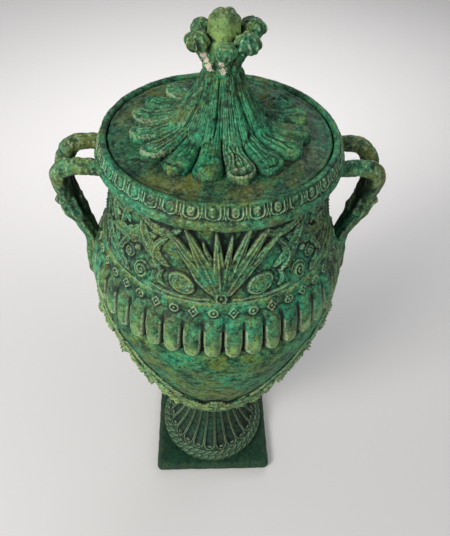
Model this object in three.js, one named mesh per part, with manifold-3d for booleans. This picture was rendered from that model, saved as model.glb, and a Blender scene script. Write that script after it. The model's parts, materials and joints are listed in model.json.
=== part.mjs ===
import * as THREE from 'three';
import { mergeVertices } from 'three/addons/utils/BufferGeometryUtils.js';
import Module from 'manifold-3d';

// A lidded garden urn cast in stone, with a forked branch for each handle.
// Millimetres, +Z up. The origin is the centre of the plinth's underside, the
// front palmette faces -Y and the handles stand along X.

// Plinth and foot
const plinthSide = 220;
const plinthHeight = 20;
const plinthCornerCut = 9;
const wreathRadius = 98;
const wreathHeight = 22;
const fluteEndRadius = 86;
const fluteCount = 22;
const fluteDepth = 6;
const stemRadius = 41;
const stemHeight = 100;
const collarRadius = 60;
const collarHeight = 23;

// Bowl, neck and lip
const bowlBaseRadius = 52;
const bellyRadius = 165;
const bowlHeight = 334;
const gadroonCount = 42;
const gadroonHeight = 61;
const gadroonDepth = 8;
const gadroonRise = 3.5;
const shoulderRadius = 150;
const shoulderHeight = 13;
const neckBaseRadius = 145;
const neckRadius = 122;
const neckHeight = 95;
const lipRadius = 140;
const lipHeight = 34;
const rimWidth = 6.4;
const eggCount = 40;
const eggDepth = 3;
const carvingDepth = 5;

// Hollow
const wallThickness = 21;
const floorThickness = 32;
const mouthRadius = 104;

// Handles
const handleReach = 198;
const branchRadius = 15;
const stemletRadius = 10.5;
const forkSpread = 25;

// Lid and finial
const lidRadius = 124;
const lidEdge = 12;
const lidRise = 66;
const lidStemRadius = 20;
const lidLeafCount = 16;
const lidLeafReach = 102;
const spigotHeight = 10;
const spigotWidth = 14;
const finialHeight = 58;
const budRadius = 15.6;
const curlCount = 6;
const curlRadius = 9;
const curlReach = 28;

// Clearances, and how far one form sinks into the next
const seatGap = 0.3;
const seatClearance = 0.6;
const spigotClearance = 3;
const sink = 2;

// Levels, stacked from the ground up
const fluteLevel = plinthHeight + wreathHeight;
const collarLevel = fluteLevel + stemHeight;
const bowlLevel = collarLevel + collarHeight;
const gadroonLevel = bowlLevel + bowlHeight;
const shoulderLevel = gadroonLevel + gadroonHeight;
const neckLevel = shoulderLevel + shoulderHeight;
const lipLevel = neckLevel + neckHeight;
const rimLevel = lipLevel + lipHeight;
const seatLevel = rimLevel - lidEdge;
const stemTopLevel = rimLevel + lidRise;
const topLevel = stemTopLevel + finialHeight;

const fullTurn = 2 * Math.PI;
const wasm = await Module();
wasm.setup();

// A closed skin over rings of points, each end closed to its middle
function loft(rings) {
  const sides = rings[0].length;
  const positions = rings.flat().flatMap((point) => [point.x, point.y, point.z]);
  const indices = [];
  for (let ring = 0; ring + 1 < rings.length; ring++) {
    for (let side = 0; side < sides; side++) {
      const next = (side + 1) % sides;
      const low = ring * sides;
      const high = low + sides;
      indices.push(low + side, low + next, high + next);
      indices.push(low + side, high + next, high + side);
    }
  }
  for (const [ring, turned] of [[0, true], [rings.length - 1, false]]) {
    const middle = new THREE.Vector3();
    rings[ring].forEach((point) => middle.addScaledVector(point, 1 / sides));
    const centre = positions.length / 3;
    positions.push(middle.x, middle.y, middle.z);
    for (let side = 0; side < sides; side++) {
      const here = ring * sides + side;
      const next = ring * sides + (side + 1) % sides;
      indices.push(centre, turned ? next : here, turned ? here : next);
    }
  }
  return solid(positions, indices);
}

function solid(positions, indices) {
  const corner = (index) => new THREE.Vector3().fromArray(positions, 3 * index);
  let volume = 0;
  for (let index = 0; index < indices.length; index += 3) {
    const edge = corner(indices[index + 1]).cross(corner(indices[index + 2]));
    volume += corner(indices[index]).dot(edge);
  }
  const triVerts = new Uint32Array(volume > 0 ? indices : indices.toReversed());
  const vertProperties = new Float32Array(positions);
  return new wasm.Manifold(new wasm.Mesh({ numProp: 3, vertProperties, triVerts }));
}

function solidFromGeometry(geometry) {
  geometry.deleteAttribute('normal');
  geometry.deleteAttribute('uv');
  const merged = mergeVertices(geometry, 1e-4);
  return solid([...merged.attributes.position.array], [...merged.index.array]);
}

function join(solids) {
  return solids.reduce((sum, item) => sum.add(item));
}

function onCircle(radius, angle, level) {
  return new THREE.Vector3(radius * Math.sin(angle), -radius * Math.cos(angle), level);
}

// Turns a profile about the vertical axis. shape may change each point's
// radius and level by its angle, which is counted from the front.
function revolve(profile, segments, shape = (angle, point) => [point.x, point.y]) {
  const rings = profile.map((point, row) => {
    const ring = [];
    for (let step = 0; step < segments; step++) {
      const angle = fullTurn * step / segments;
      const [radius, level] = shape(angle, point, row);
      ring.push(onCircle(radius, angle, level));
    }
    return ring;
  });
  return loft(rings);
}

function profileOf(pairs) {
  return pairs.map(([radius, level]) => new THREE.Vector2(radius, level));
}

// The vessel's outer curves, from the collar up to the lip
const bowlCurve = new THREE.CubicBezierCurve(
  new THREE.Vector2(bowlBaseRadius, bowlLevel),
  new THREE.Vector2(bowlBaseRadius + 0.35 * (bellyRadius - bowlBaseRadius), bowlLevel + 0.022 * bowlHeight),
  new THREE.Vector2(1.02 * bellyRadius, bowlLevel + 0.805 * bowlHeight),
  new THREE.Vector2(bellyRadius, gadroonLevel),
);
const shoulderCurve = new THREE.QuadraticBezierCurve(
  new THREE.Vector2(bellyRadius, gadroonLevel),
  new THREE.Vector2(bellyRadius, gadroonLevel + 0.62 * gadroonHeight),
  new THREE.Vector2(shoulderRadius, shoulderLevel),
);
const neckCurve = new THREE.QuadraticBezierCurve(
  new THREE.Vector2(neckBaseRadius, neckLevel),
  new THREE.Vector2(neckRadius, neckLevel + 0.45 * neckHeight),
  new THREE.Vector2(neckRadius, lipLevel),
);
const outline = [
  ...bowlCurve.getPoints(16),
  ...shoulderCurve.getPoints(6).slice(1),
  ...neckCurve.getPoints(8),
];

function radiusAt(level) {
  const above = Math.max(1, outline.findIndex((point) => point.y >= level));
  const low = outline[above - 1];
  const high = outline[above];
  return THREE.MathUtils.mapLinear(level, low.y, high.y, low.x, high.x);
}

function plinth() {
  const half = plinthSide / 2;
  const cut = half - plinthCornerCut;
  const square = new THREE.Shape();
  square.moveTo(-cut, -half);
  for (const [x, y] of [[cut, -half], [half, -cut], [half, cut], [cut, half]]) square.lineTo(x, y);
  for (const [x, y] of [[-cut, half], [-half, cut], [-half, -cut]]) square.lineTo(x, y);
  return solidFromGeometry(new THREE.ExtrudeGeometry(square, { depth: plinthHeight, bevelEnabled: false }));
}

// The leafy ring on the plinth, one leaf bundle to each flute
function wreath() {
  const middle = plinthHeight + wreathHeight / 2;
  const inner = fluteEndRadius - fluteDepth;
  const profile = profileOf([
    [inner, plinthHeight - sink],
    [wreathRadius - 4, plinthHeight - 0.5 * sink],
    [wreathRadius, middle - 0.1 * wreathHeight],
    [fluteEndRadius - sink, fluteLevel - 0.5 * sink],
  ]);
  const leafBundle = (angle, point, row) => {
    const wave = 1.4 * Math.cos(fluteCount * angle);
    return [point.x + (row === 0 ? 0 : wave), point.y];
  };
  return revolve(profile, 2 * fluteCount, leafBundle);
}

// The trumpet foot: hollow flutes with rounded lower ends and thin ribs
function flutedFoot() {
  const spread = fluteEndRadius - stemRadius;
  const shares = [[1, 0, 0], [0.88, 0.06, 0.8], [0.5, 0.3, 1], [0.14, 0.68, 0.6], [0, 1, 0.3]];
  const profile = shares.map(([out, up]) => (
    new THREE.Vector2(stemRadius + out * spread, fluteLevel - 0.5 * sink + up * (stemHeight + sink))));
  const hollow = (angle, point, row) => {
    const across = Math.abs(Math.sin(fluteCount * angle / 2)) * point.x / fluteEndRadius;
    const depth = row === 0 ? 0 : fluteDepth * shares[row - 1][2];
    return [point.x - depth * across, point.y];
  };
  const start = new THREE.Vector2(fluteEndRadius, fluteLevel - 2 * sink);
  return revolve([start, ...profile], 3 * fluteCount, hollow);
}

function collar() {
  return revolve(profileOf([
    [stemRadius - sink, collarLevel - 0.5 * sink],
    [0.9 * collarRadius, collarLevel + 0.15 * collarHeight],
    [collarRadius, collarLevel + 0.4 * collarHeight],
    [0.95 * collarRadius, collarLevel + 0.7 * collarHeight],
    [bowlBaseRadius - 0.5 * sink, bowlLevel + sink],
  ]), 24);
}

function bowl() {
  const profile = bowlCurve.getPoints(6);
  profile.push(new THREE.Vector2(bellyRadius - gadroonDepth, gadroonLevel + 3 * sink));
  return revolve(profile, 36);
}

// Round-ended lobes round the shoulder
function gadroons() {
  const rows = [[-0.06, -2], [0.02, 0.6], [0.2, 1], [0.62, 0.9], [0.96, 0.25], [1.04, -1.5]];
  const profile = rows.map(([share]) => {
    const point = shoulderCurve.getPoint(THREE.MathUtils.clamp(share, 0, 1));
    return new THREE.Vector2(point.x, gadroonLevel + share * gadroonHeight);
  });
  const lobe = (angle, point, row) => {
    const inGroove = Math.round(angle * 3 * gadroonCount / fullTurn) % 3 === 0;
    const proud = rows[row][1];
    const crest = proud > 0 ? gadroonRise * proud : proud;
    const groove = proud > 0 ? (gadroonRise - gadroonDepth) * proud : proud;
    const drop = row < 2 ? (inGroove ? 4 : -2) : 0;
    return [point.x + (inGroove ? groove : crest), point.y + drop];
  };
  return revolve(profile, 3 * gadroonCount, lobe);
}

function neck() {
  const profile = [
    new THREE.Vector2(shoulderRadius - gadroonDepth, shoulderLevel - 3 * sink),
    new THREE.Vector2(shoulderRadius - 1, shoulderLevel - sink),
    new THREE.Vector2(neckBaseRadius + 2, neckLevel - 1),
    ...neckCurve.getPoints(4),
  ];
  profile.push(new THREE.Vector2(neckRadius, lipLevel + 2 * sink));
  return revolve(profile, 36);
}

// The lip: a plain roll below a sloping band of eggs
function lip() {
  const rimRadius = lidRadius + seatClearance + rimWidth;
  const rows = [
    [neckRadius - sink, lipLevel - 0.5 * sink, 0],
    [lipRadius - 4, lipLevel + 0.18 * lipHeight, 0],
    [lipRadius, lipLevel + 0.38 * lipHeight, 0],
    [lipRadius - 3, lipLevel + 0.62 * lipHeight, 1],
    [rimRadius, rimLevel, 0.2],
  ];
  const egg = (angle, point, row) => {
    const dart = 0.5 - 0.5 * Math.cos(eggCount * angle);
    return [point.x - eggDepth * rows[row][2] * (1 - dart), point.y];
  };
  return revolve(profileOf(rows), 2 * eggCount, egg);
}

// The inside: the outer curve moved in by the wall, then the mouth and the
// step that the lid lies on
function hollow() {
  const floorLevel = bowlLevel + floorThickness;
  const inner = outline.filter((point, index) => index % 4 === 0).map((point) => {
    const near = radiusAt(point.y + 2) - radiusAt(Math.max(bowlLevel, point.y - 2));
    const tilt = Math.atan2(near, 4);
    const inward = wallThickness * Math.cos(tilt);
    return new THREE.Vector2(point.x - inward, point.y + wallThickness * Math.sin(tilt));
  });
  const rising = inner.filter((point, index) => (
    point.y > floorLevel + 8 && point.y < lipLevel - 6 && (index === 0 || point.y > inner[index - 1].y)));
  const profile = [
    new THREE.Vector2(rising[0].x * 0.55, floorLevel),
    ...rising,
    new THREE.Vector2(mouthRadius, lipLevel),
    new THREE.Vector2(mouthRadius, seatLevel + 0.5 * sink),
  ];
  const seatRadius = lidRadius + seatClearance;
  const seat = profileOf([[seatRadius, seatLevel], [seatRadius, rimLevel + sink]]);
  return revolve(profile, 24).add(revolve(seat, 32));
}

// A tube of changing girth along a curve, with a ridged, barky section
function limb(points, girths, stations, sides = 6) {
  const path = new THREE.CatmullRomCurve3(points.map(([x, y, z]) => new THREE.Vector3(x, y, z)));
  const rings = [];
  for (let station = 0; station <= stations; station++) {
    const share = station / stations;
    const spot = path.getPoint(share);
    const along = path.getTangent(share);
    const side = new THREE.Vector3(0, 1, 0).cross(along).normalize();
    const deep = along.clone().cross(side);
    const place = share * (girths.length - 1);
    const from = Math.min(Math.floor(place), girths.length - 2);
    const girth = THREE.MathUtils.lerp(girths[from], girths[from + 1], place - from);
    rings.push(Array.from({ length: sides }, (unused, index) => {
      const angle = fullTurn * index / sides + share;
      const ridge = girth * (index % 2 === 0 ? 1 : 0.88);
      const point = spot.clone().addScaledVector(side, ridge * Math.cos(angle));
      return point.addScaledVector(deep, ridge * Math.sin(angle));
    }));
  }
  return loft(rings);
}

// One handle on the +X side: a tail over the gadroons, a branch that stands
// off the neck, and a fork whose two stems arch in under the lip
function handle() {
  const column = handleReach - branchRadius;
  const forkLevel = lipLevel - 24;
  const branch = limb([
    [radiusAt(gadroonLevel - 33) + 10, 0, gadroonLevel - 33],
    [bellyRadius + 4, 0, gadroonLevel + 2],
    [shoulderRadius + 13, 0, shoulderLevel - 20],
    [shoulderRadius + 21, 0, shoulderLevel + 7],
    [column - 2, 0, neckLevel + 30],
    [column, 0, forkLevel],
    [column - 4, 0, lipLevel - 4],
  ], [5, 9, 11, branchRadius + 2, branchRadius + 1, branchRadius - 1, branchRadius - 4], 7);
  const stems = [-1, 1].map((side) => limb([
    [column, 0, forkLevel - 16],
    [column, side * 0.5 * forkSpread, lipLevel - 16],
    [column - 12, side * 0.88 * forkSpread, lipLevel - 4],
    [lipRadius + 8, side * forkSpread, lipLevel - 1],
    [lipRadius - 14, side * 0.97 * forkSpread, lipLevel - 3],
  ], [branchRadius - 3, stemletRadius + 1, stemletRadius, stemletRadius, stemletRadius], 5));
  const twig = limb([
    [column, 0, neckLevel + 30],
    [handleReach - 3, 0, neckLevel + 36],
    [handleReach + 4, 0, neckLevel + 42],
  ], [8, 6, 4], 2);
  return join([branch, ...stems, twig]);
}

// A pointed leaf raised on the vessel's side: its middle line leans from one
// angle and level to another, and its crest stands proud by the given rise
function raisedLeaf({ fromAngle, toAngle, fromLevel, toLevel, width, rise, stations = 4, lobes = 0 }) {
  const rings = [];
  for (let station = 0; station <= stations; station++) {
    const share = station / stations;
    const angle = THREE.MathUtils.lerp(fromAngle, toAngle, share);
    const level = THREE.MathUtils.lerp(fromLevel, toLevel, share);
    const swell = Math.sin(Math.PI * (0.1 + 0.85 * share)) * (1 - lobes * (station % 2));
    const radius = radiusAt(level);
    const half = width * swell / 2 / radius;
    rings.push([
      onCircle(radius - 1, angle - half, level),
      onCircle(radius + rise * (0.5 + 0.5 * swell), angle, level),
      onCircle(radius - 1, angle + half, level),
      onCircle(radius - 1 - rise, angle, level),
    ]);
  }
  return loft(rings);
}

// Front and back palmettes with a shell scroll on each side of them
function neckCarving() {
  const carving = [];
  const foot = neckLevel + 2;
  for (const face of [0, Math.PI]) {
    for (let blade = -2; blade <= 2; blade++) {
      carving.push(raisedLeaf({
        fromAngle: face + 0.02 * blade,
        toAngle: face + 0.2 * blade,
        fromLevel: foot + 2,
        toLevel: foot + (0.88 - 0.07 * Math.abs(blade)) * neckHeight,
        width: 18,
        rise: carvingDepth,
        stations: 3,
      }));
    }
    for (const side of [-1, 1]) {
      carving.push(raisedLeaf({
        fromAngle: face + side * 0.2,
        toAngle: face + side * 0.55,
        fromLevel: foot + 4,
        toLevel: foot + 0.42 * neckHeight,
        width: 34,
        rise: carvingDepth,
      }));
      carving.push(raisedLeaf({
        fromAngle: face + side * 0.85,
        toAngle: face + side * 1.0,
        fromLevel: foot + 2,
        toLevel: foot + 0.8 * neckHeight,
        width: 44,
        rise: carvingDepth,
        lobes: 0.3,
      }));
    }
  }
  return carving;
}

// Short leaves round the bottom of the bowl, and jagged sprays that sweep from
// below each handle down towards the front and the back
function bowlCarving() {
  const carving = [];
  const lowLeafCount = 6;
  for (let leaf = 0; leaf < lowLeafCount; leaf++) {
    const angle = fullTurn * leaf / lowLeafCount;
    carving.push(raisedLeaf({
      fromAngle: angle,
      toAngle: angle,
      fromLevel: bowlLevel + 8,
      toLevel: bowlLevel + 0.39 * bowlHeight,
      width: 52,
      rise: carvingDepth,
      stations: 3,
    }));
  }
  for (const side of [-1, 1]) {
    for (const way of [-1, 1]) {
      carving.push(raisedLeaf({
        fromAngle: side * fullTurn / 4 + way * 1.05,
        toAngle: side * fullTurn / 4 - way * 0.02,
        fromLevel: bowlLevel + 0.4 * bowlHeight,
        toLevel: gadroonLevel - 10,
        width: 40,
        rise: 2 * carvingDepth,
        stations: 8,
        lobes: 0.25,
      }));
    }
  }
  return carving;
}

function vase() {
  const shell = join([
    plinth(),
    wreath(),
    flutedFoot(),
    collar(),
    bowl(),
    gadroons(),
    neck(),
    lip(),
    ...neckCarving(),
    ...bowlCarving(),
  ]);
  const right = handle();
  const left = right.mirror([1, 0, 0]);
  return join([shell, right, left]).subtract(hollow());
}

// The lid's plate: a flat rim with a raised edge, and the ring below it that
// drops into the mouth
function lidPlate() {
  const underside = seatLevel + seatGap;
  const spigotRadius = mouthRadius - spigotClearance;
  return revolve(profileOf([
    [spigotRadius - spigotWidth, underside],
    [spigotRadius - spigotWidth + 2, underside - spigotHeight],
    [spigotRadius - 2, underside - spigotHeight],
    [spigotRadius, underside],
    [lidRadius, underside],
    [lidRadius, rimLevel - 3],
    [lidRadius - 3, rimLevel],
    [lidRadius - 8, rimLevel - 2],
    [0.8 * lidLeafReach, rimLevel - 1],
  ]), 32);
}

// The ring of leaves that climbs to the stem. Each leaf has a middle rib
// between two spooned halves, and a tip that curls up and overhangs
function lidLeaves() {
  const reach = lidLeafReach - lidStemRadius;
  const rows = [
    { out: 0.72, up: -0.06, rim: 0, rib: 0, valley: 0, tuck: 0 },
    { out: 0.94, up: 0.02, rim: 0, rib: 0, valley: 0, tuck: 6 },
    { out: 1, up: 0.19, rim: 0, rib: 2, valley: -8, tuck: 8 },
    { out: 0.9, up: 0.15, rim: 2, rib: -2, valley: -6, tuck: 4 },
    { out: 0.55, up: 0.19, rim: 3, rib: 1, valley: -4, tuck: 0 },
    { out: 0.2, up: 0.46, rim: 1.5, rib: 1, valley: -1.5, tuck: 0 },
    { out: 0, up: 1, rim: 0, rib: 0, valley: -1, tuck: 0 },
  ];
  const profile = rows.map(({ out, up }) => (
    new THREE.Vector2(lidStemRadius + out * reach, rimLevel + up * lidRise)));
  const leaf = (angle, point, row) => {
    const place = Math.round(4 * lidLeafCount * angle / fullTurn) % 4;
    const { rim, rib, valley, tuck } = rows[row];
    const lift = [valley, rim, rib, rim][place];
    const draw = place === 0 ? tuck : (place === 2 ? 0 : tuck / 4);
    return [point.x - draw, point.y + lift];
  };
  return revolve(profile, 4 * lidLeafCount, leaf);
}

// A ball of round section, flattened or stretched
function ball(centre, radius, stretch, sides) {
  const geometry = new THREE.SphereGeometry(radius, sides, Math.round(0.6 * sides));
  geometry.rotateX(Math.PI / 2);
  geometry.scale(1, 1, stretch);
  geometry.translate(centre.x, centre.y, centre.z);
  return solidFromGeometry(geometry);
}

// The finial: a round bud in a ring of curled heads on short stalks
function finial() {
  const curlLevel = topLevel - 1.5 * budRadius;
  const pieces = [ball(new THREE.Vector3(0, 0, topLevel - budRadius), budRadius, 1, 10)];
  for (let curl = 0; curl < curlCount; curl++) {
    const angle = fullTurn * curl / curlCount;
    const head = onCircle(curlReach, angle, curlLevel);
    const sag = onCircle(lidStemRadius - 2, angle, stemTopLevel + 0.25 * finialHeight);
    const root = onCircle(lidStemRadius - 8, angle, stemTopLevel - 8);
    pieces.push(ball(head, curlRadius, curl % 2 === 0 ? 1 : 0.8, 6));
    pieces.push(limb([root.toArray(), sag.toArray(), head.toArray()], [5, 6.5, 5], 2, 4));
  }
  pieces.push(revolve(profileOf([
    [lidStemRadius - 2, stemTopLevel - 4],
    [lidStemRadius - 3, stemTopLevel + 0.15 * finialHeight],
    [0.6 * budRadius, topLevel - budRadius],
  ]), 8));
  return join(pieces);
}

function lid() {
  return join([lidPlate(), lidLeaves(), finial()]);
}

function namedMesh(name, shape, colour) {
  const mesh = shape.getMesh();
  const geometry = new THREE.BufferGeometry();
  geometry.setAttribute('position', new THREE.BufferAttribute(mesh.vertProperties, 3));
  geometry.setIndex(new THREE.BufferAttribute(mesh.triVerts, 1));
  const material = new THREE.MeshStandardMaterial({ color: colour, roughness: 0.72, metalness: 0 });
  const result = new THREE.Mesh(geometry, material);
  result.name = name;
  return result;
}

const group = new THREE.Group();
group.add(namedMesh('vase', vase(), 0x3f7350));
group.add(namedMesh('lid', lid(), 0x4a7a4c));

export default group;
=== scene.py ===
import json
import math
import bpy
import numpy as np
from mathutils import Matrix, Vector

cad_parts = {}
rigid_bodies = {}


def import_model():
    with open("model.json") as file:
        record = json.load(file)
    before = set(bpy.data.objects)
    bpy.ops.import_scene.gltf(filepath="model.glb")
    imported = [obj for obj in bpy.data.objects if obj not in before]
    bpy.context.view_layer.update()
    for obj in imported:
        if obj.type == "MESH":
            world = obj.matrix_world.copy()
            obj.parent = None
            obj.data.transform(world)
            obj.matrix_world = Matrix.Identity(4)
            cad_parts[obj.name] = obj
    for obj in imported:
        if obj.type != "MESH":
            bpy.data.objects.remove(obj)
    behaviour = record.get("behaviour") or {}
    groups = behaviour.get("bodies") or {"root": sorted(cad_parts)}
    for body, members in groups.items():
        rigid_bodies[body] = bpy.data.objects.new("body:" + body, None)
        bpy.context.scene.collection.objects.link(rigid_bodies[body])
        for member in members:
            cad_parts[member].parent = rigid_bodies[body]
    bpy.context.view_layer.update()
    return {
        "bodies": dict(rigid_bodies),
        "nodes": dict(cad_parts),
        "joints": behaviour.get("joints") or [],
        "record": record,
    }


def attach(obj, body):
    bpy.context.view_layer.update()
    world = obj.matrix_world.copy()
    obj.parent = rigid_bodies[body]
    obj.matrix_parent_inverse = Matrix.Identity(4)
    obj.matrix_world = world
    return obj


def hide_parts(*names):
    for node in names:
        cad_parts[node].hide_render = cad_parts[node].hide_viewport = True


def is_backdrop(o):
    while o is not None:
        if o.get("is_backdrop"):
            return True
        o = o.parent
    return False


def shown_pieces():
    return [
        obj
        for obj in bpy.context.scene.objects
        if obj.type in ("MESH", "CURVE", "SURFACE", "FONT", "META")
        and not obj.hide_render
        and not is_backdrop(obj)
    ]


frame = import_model()
mm = 0.001
print("frame loaded")


# Camera, floor and light

camera = {
    "position": (-20.8, -485.0, 1002.1),   # mm from the middle of the plinth's underside
    "forward": (0.0457, 0.6757, -0.7358),
    "roll": 2.74,                          # degrees
    "lens": 33.58,                         # mm, on the picture's long side
}


stage = {
    "floor": (0.66, 0.645, 0.64),
    "sky": (0.97, 0.98, 1.0, 1),
    "skyStrength": 0.45,
    "lights": (                            # name, place and aim in metres, width, watts, colour
        ("windowLight", (-1.5, -1.35, 1.75), (0, 0, 0.45), 0.9, 52, (1, 0.985, 0.95)),
        ("fillLight", (1.9, -1.3, 1.5), (0, 0, 0.45), 1.6, 6, (0.9, 0.95, 1)),
        ("backLight", (0.9, 1.9, 1.7), (0, 0, 0.6), 1.2, 8, (1, 1, 1)),
        ("floorLight", (-0.1, 1.2, 1.2), (-0.1, 2.2, 0), 1.6, 15, (1, 0.99, 0.98)),
    ),
}


def placeCamera(size):
    data = bpy.data.cameras.new("camera")
    data.lens = size["lens"]
    data.sensor_width = 36
    data.clip_start = 0.01
    spot = bpy.data.objects.new("camera", data)
    bpy.context.scene.collection.objects.link(spot)
    ahead = Vector(size["forward"]).normalized()
    right = ahead.cross(Vector((0, 0, 1))).normalized()
    up = right.cross(ahead)
    roll = math.radians(size["roll"])
    turnedRight = right * math.cos(roll) + up * math.sin(roll)
    turnedUp = up * math.cos(roll) - right * math.sin(roll)
    turn = Matrix((turnedRight, turnedUp, -ahead)).transposed().to_4x4()
    spot.matrix_world = Matrix.Translation(Vector(size["position"]) * mm) @ turn
    bpy.context.scene.camera = spot


def addLight(name, place, aim, width, power, colour):
    data = bpy.data.lights.new(name, "AREA")
    data.size = width
    data.energy = power
    data.color = colour
    lamp = bpy.data.objects.new(name, data)
    bpy.context.scene.collection.objects.link(lamp)
    lamp.location = place
    lamp.rotation_euler = (Vector(aim) - Vector(place)).to_track_quat("-Z", "Y").to_euler()


def plainMaterial(name, colour, roughness):
    material = bpy.data.materials.new(name)
    material.use_nodes = True
    shader = material.node_tree.nodes["Principled BSDF"]
    shader.inputs["Base Color"].default_value = (*colour, 1)
    shader.inputs["Roughness"].default_value = roughness
    return material


def setStage():
    bpy.ops.object.select_all(action="DESELECT")
    bpy.ops.mesh.primitive_plane_add(size=14)
    floor = bpy.context.object
    floor.name = "floor"
    floor.data.materials.append(plainMaterial("paleFloor", stage["floor"], 0.85))
    floor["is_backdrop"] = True
    world = bpy.data.worlds.new("softRoom")
    world.use_nodes = True
    sky = world.node_tree.nodes["Background"]
    sky.inputs["Color"].default_value = stage["sky"]
    sky.inputs["Strength"].default_value = stage["skyStrength"]
    bpy.context.scene.world = world
    for light in stage["lights"]:
        addLight(*light)
    bpy.context.scene.view_settings.view_transform = "Standard"


placeCamera(camera)
setStage()
print("camera and light placed")


# Making and carving tools. Lengths are in millimetres until a mesh is written.

def curvePoints(controls, step):
    # evenly spaced points along a Bezier curve with the given control points
    controls = np.array(controls, float)
    share = np.linspace(0, 1, 400)[:, None]
    points = controls[None, :, :].repeat(400, axis=0)
    while points.shape[1] > 1:
        points = points[:, :-1] * (1 - share[:, :, None]) + points[:, 1:] * share[:, :, None]
    return evenPoints(points[:, 0], step)


def evenPoints(points, step):
    # the same path with a point every step millimetres
    points = np.array(points, float)
    length = np.concatenate([[0], np.cumsum(np.hypot(*np.diff(points, axis=0).T))])
    count = max(1, int(round(length[-1] / step)))
    marks = np.linspace(0, length[-1], count + 1)
    return np.stack([np.interp(marks, length, points[:, axis]) for axis in (0, 1)], axis=1)


def smoothPath(points, step):
    # a soft curve through a few points, evenly spaced where it is flat
    points = np.array(points, float)
    padded = np.vstack([2 * points[0] - points[1], points, 2 * points[-1] - points[-2]])
    share = np.linspace(0, 1, 40, endpoint=False)[:, None]
    spans = []
    for first in range(len(points) - 1):
        a, b, c, d = padded[first:first + 4]
        spans.append(0.5 * (2 * b + (c - a) * share + (2 * a - 5 * b + 4 * c - d) * share ** 2
                            + (3 * b - a - 3 * c + d) * share ** 3))
    spans.append(points[-1:])
    return evenPoints(np.vstack(spans), step) if points.shape[1] == 2 else np.vstack(spans)


def finishMesh(piece, gap=0.00002):
    bpy.ops.object.select_all(action="DESELECT")
    bpy.context.view_layer.objects.active = piece
    piece.select_set(True)
    bpy.ops.object.mode_set(mode="EDIT")
    bpy.ops.mesh.select_all(action="SELECT")
    bpy.ops.mesh.remove_doubles(threshold=gap)
    bpy.ops.mesh.normals_make_consistent(inside=False)
    bpy.ops.object.mode_set(mode="OBJECT")
    bpy.ops.object.shade_smooth()


def turned(name, outer, inner, columns, capped=False):
    # a section is drawn on the YZ plane and spun about the upright axis
    section = np.vstack([outer, inner]) if len(inner) else np.array(outer)
    bpy.ops.object.select_all(action="DESELECT")
    bpy.ops.mesh.primitive_circle_add(vertices=len(section), radius=0.1, fill_type="NOTHING")
    piece = bpy.context.object
    piece.name = name
    piece.data.name = name
    places = np.zeros((len(section), 3))
    places[:, 1] = -section[:, 0] * mm
    places[:, 2] = section[:, 1] * mm
    piece.data.vertices.foreach_set("co", places.ravel())
    if capped:
        # a section that starts and ends on the axis is left open there
        bpy.ops.object.mode_set(mode="EDIT")
        bpy.ops.mesh.select_mode(type="EDGE")
        bpy.ops.mesh.select_all(action="DESELECT")
        bpy.ops.object.mode_set(mode="OBJECT")
        for edge in piece.data.edges:
            edge.select = set(edge.vertices) == {0, len(section) - 1}
        bpy.ops.object.mode_set(mode="EDIT")
        bpy.ops.mesh.delete(type="EDGE_FACE")
        bpy.ops.mesh.select_mode(type="VERT")
        bpy.ops.object.mode_set(mode="OBJECT")
    # an eighth of the turn is spun, then copied round three times
    bpy.ops.object.mode_set(mode="EDIT")
    bpy.ops.mesh.select_all(action="SELECT")
    bpy.ops.mesh.spin(steps=columns // 8, angle=math.pi / 4, center=(0, 0, 0), axis=(0, 0, 1))
    for turn in (math.pi / 4, math.pi / 2, math.pi):
        bpy.ops.mesh.select_all(action="SELECT")
        bpy.ops.mesh.duplicate()
        bpy.ops.transform.rotate(value=turn, orient_axis="Z", orient_type="GLOBAL",
                                 center_override=(0, 0, 0))
    bpy.ops.object.mode_set(mode="OBJECT")
    finishMesh(piece)
    return piece


def wrapped(name, columns, rows, place):
    # a sheet of squares laid over a form: place gives x, y, z for u and v from 0 to 1
    bpy.ops.object.select_all(action="DESELECT")
    bpy.ops.mesh.primitive_grid_add(x_subdivisions=columns, y_subdivisions=rows, size=1)
    piece = bpy.context.object
    piece.name = name
    piece.data.name = name
    spots = readPlaces(piece) / 1000
    sheet = place(spots[:, 0] + 0.5, spots[:, 1] + 0.5)
    writePlaces(piece, np.stack(sheet, axis=1))
    finishMesh(piece)
    return piece


def readPlaces(piece):
    flat = np.empty(3 * len(piece.data.vertices))
    piece.data.vertices.foreach_get("co", flat)
    return flat.reshape(-1, 3) / mm


def writePlaces(piece, places):
    piece.data.vertices.foreach_set("co", (places * mm).ravel())
    piece.data.update()


def readSurface(piece, outer):
    # where each point of a turned piece lies on its outer face: angle from the front,
    # distance along the section, radius, and the way outwards
    places = readPlaces(piece)
    outer = np.array(outer)
    radius = np.hypot(places[:, 0], places[:, 1])
    slope = np.gradient(outer, axis=0)
    slope /= np.maximum(np.hypot(slope[:, 0], slope[:, 1]), 1e-9)[:, None]
    length = np.concatenate([[0], np.cumsum(np.hypot(*np.diff(outer, axis=0).T))])
    row = np.empty(len(places), int)
    off = np.empty(len(places))
    for start in range(0, len(places), 20000):
        part = slice(start, start + 20000)
        apart = np.hypot(radius[part, None] - outer[None, :, 0],
                         places[part, 2][:, None] - outer[None, :, 1])
        row[part] = apart.argmin(axis=1)
        off[part] = apart.min(axis=1)
    return {
        "places": places,
        "angle": np.arctan2(places[:, 0], -places[:, 1]),
        "along": length[row],
        "radius": outer[row, 0],
        "level": outer[row, 1],
        "out": slope[row, 1],
        "up": -slope[row, 0],
        "on": off < 0.05,
        "length": length,
        "section": outer,
    }


def pushOut(piece, surface, height):
    height = np.where(surface["on"], height, 0)
    places = surface["places"].copy()
    places[:, 0] += height * surface["out"] * np.sin(surface["angle"])
    places[:, 1] -= height * surface["out"] * np.cos(surface["angle"])
    places[:, 2] += height * surface["up"]
    writePlaces(piece, places)


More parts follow.
